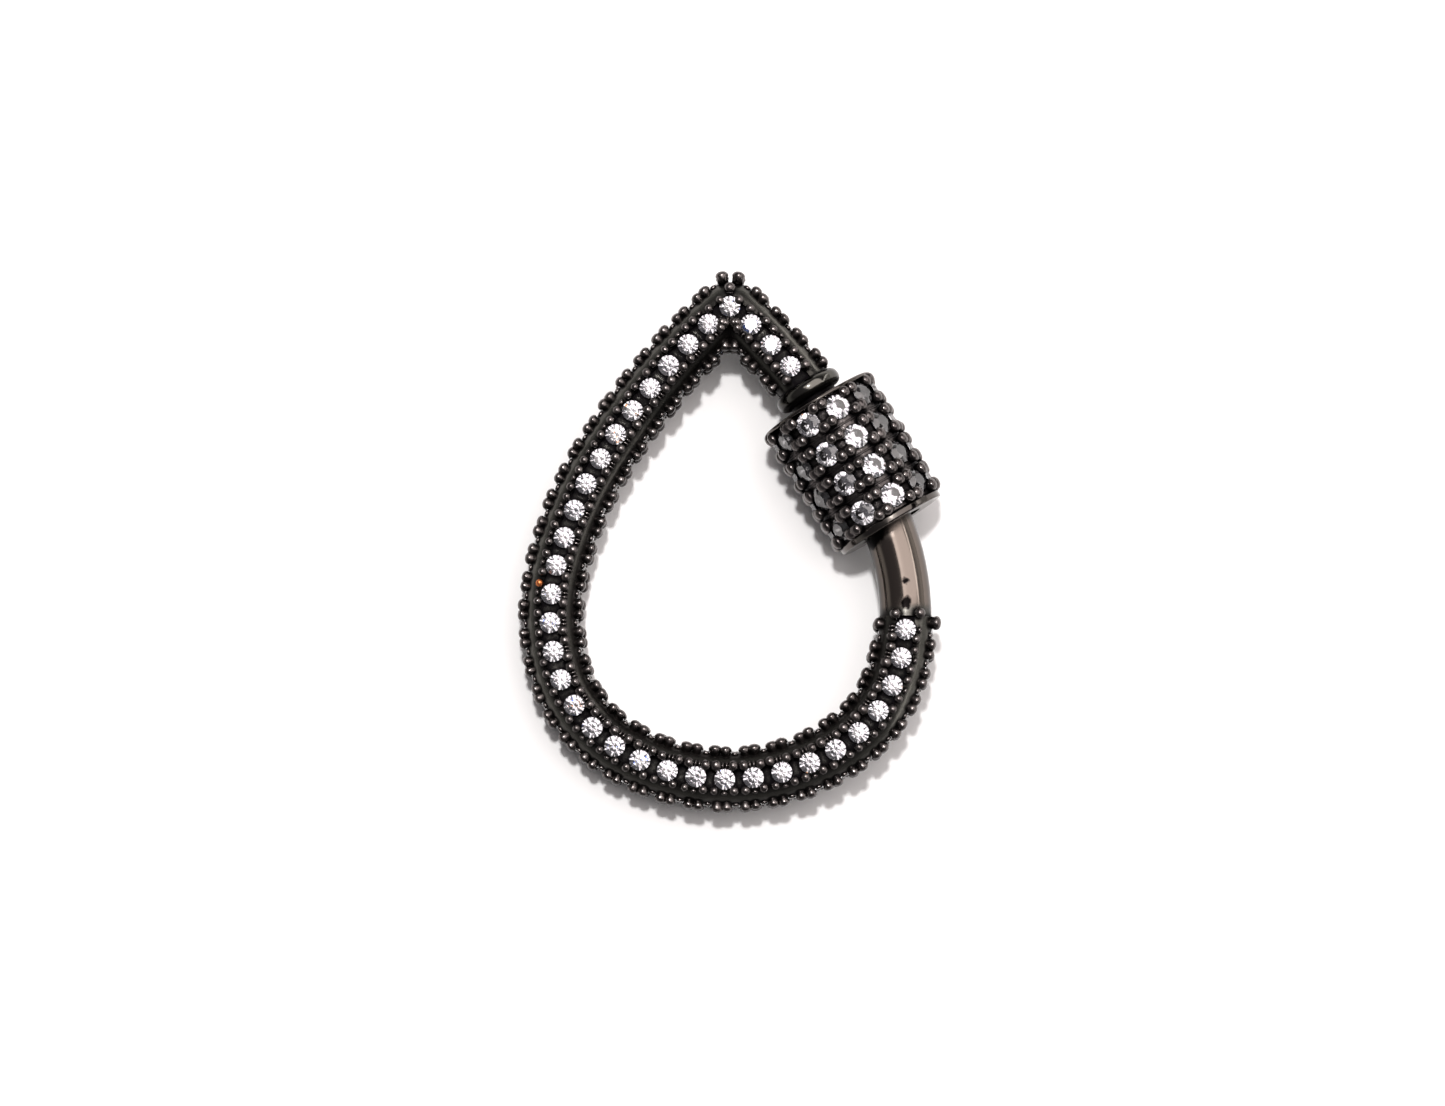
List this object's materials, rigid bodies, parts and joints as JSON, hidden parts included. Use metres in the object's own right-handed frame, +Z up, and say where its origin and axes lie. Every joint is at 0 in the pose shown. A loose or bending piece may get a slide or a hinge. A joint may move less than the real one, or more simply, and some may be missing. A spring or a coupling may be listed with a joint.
{
  "type": "pave carabiner clasp",
  "caption": "Pear-shaped jewellery clasp, pave set on its faces and both sides, with a screw barrel on its open side that slides down a round bar.",
  "frame": {"origin": "centre of the clasp's box on the level surface that it lies on", "axes": "+Y from the pear's round bottom up to its apex, +X to the side that opens, +Z up out of the front"},
  "size_m": [0.0232, 0.0294, 0.0068],
  "materials": {
    "gunmetal": "cast brass plated in bright black gunmetal, polished",
    "clear_stone": "clear round brilliant-cut stones"
  },
  "bodies": {
    "frame": {"frame": "gunmetal", "front_stones": "clear_stone", "back_stones": "clear_stone", "outer_stones": "clear_stone", "inner_stones": "clear_stone"},
    "barrel_tube": {"barrel_tube": "gunmetal"},
    "barrel_sleeve": {"barrel_sleeve": "gunmetal", "barrel_stones": "clear_stone"}
  },
  "joints": [
    {"name": "barrel_travel", "type": "hinge", "parent": "frame", "child": "barrel_tube", "pos_m": [-0.01699, -0.0064, 0.00136], "axis": [0.0666, 0.0417, -0.9969], "range_deg": [0, 7.49]},
    {"name": "barrel_turn", "type": "hinge", "parent": "barrel_tube", "child": "barrel_sleeve", "pos_m": [0.00418, 0.00862, 0.0034], "axis": [0.5305, -0.8477, 0], "continuous": true}
  ]
}
